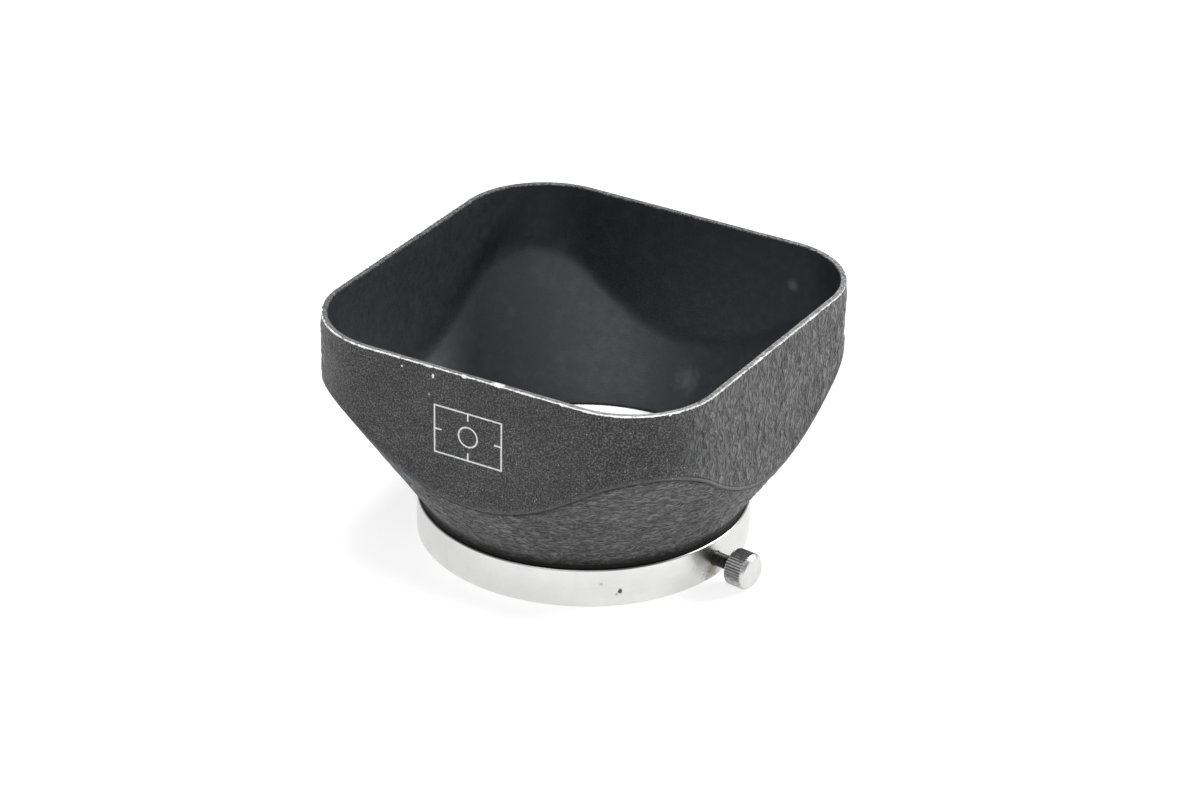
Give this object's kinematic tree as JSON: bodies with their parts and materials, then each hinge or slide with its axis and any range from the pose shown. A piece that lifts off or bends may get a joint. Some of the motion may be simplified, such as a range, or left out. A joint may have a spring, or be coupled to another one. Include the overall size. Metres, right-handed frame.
{
  "type": "lens hood",
  "caption": "Square slip-on lens hood: black wrinkle-painted shade on a turned collar with a knurled thumbscrew and an inner clamping leaf.",
  "frame": {"origin": "centre of the collar's rear face, on the optical axis", "axes": "+Z along the optical axis towards the open front; -Y is the face with the printed mark; the thumbscrew is 8 degrees from +X towards -Y"},
  "size_m": [0.0592, 0.0592, 0.036],
  "materials": {
    "wrinkle_paint": "black wrinkle lacquer outside, matt black inside",
    "satin_plate": "satin plated",
    "nut_plate": "satin plated, turned",
    "spring_bronze": "rolled spring strip",
    "rivet_brass": "dull",
    "screw_steel": "darkened steel",
    "knob_plate": "knurled, polished end"
  },
  "bodies": {
    "hood": {"hood_shell": "wrinkle_paint", "mount_ring": "satin_plate", "retaining_ring": "nut_plate", "leaf_rivet_lower": "rivet_brass", "leaf_rivet_upper": "rivet_brass"},
    "leaf": {"clamp_leaf": "spring_bronze"},
    "shoe": {"pressure_shoe": "rivet_brass"},
    "thumbscrew": {"thumbscrew_stud": "screw_steel", "thumbscrew_knob": "knob_plate"}
  },
  "joints": [
    {"name": "screw_advance", "type": "slide", "parent": "hood", "child": "shoe", "axis": [-0.9903, 0.1392, 0], "range_m": [0, 0.0008]},
    {"name": "screw_turn", "type": "hinge", "parent": "shoe", "child": "thumbscrew", "pos_m": [0.02307, -0.00324, 0.003], "axis": [-0.9903, 0.1392, 0], "range_deg": [0, 721]},
    {"name": "leaf_flex", "type": "hinge", "parent": "hood", "child": "leaf", "pos_m": [0.01525, 0.01579, 0.00275], "axis": [0, 0, -1], "range_deg": [0, 2.6]}
  ],
  "couplings": [
    {"joint": "screw_turn", "follows": "screw_advance", "rad_per_m": 15708},
    {"joint": "leaf_flex", "follows": "screw_advance", "rad_per_m": 56.313}
  ]
}
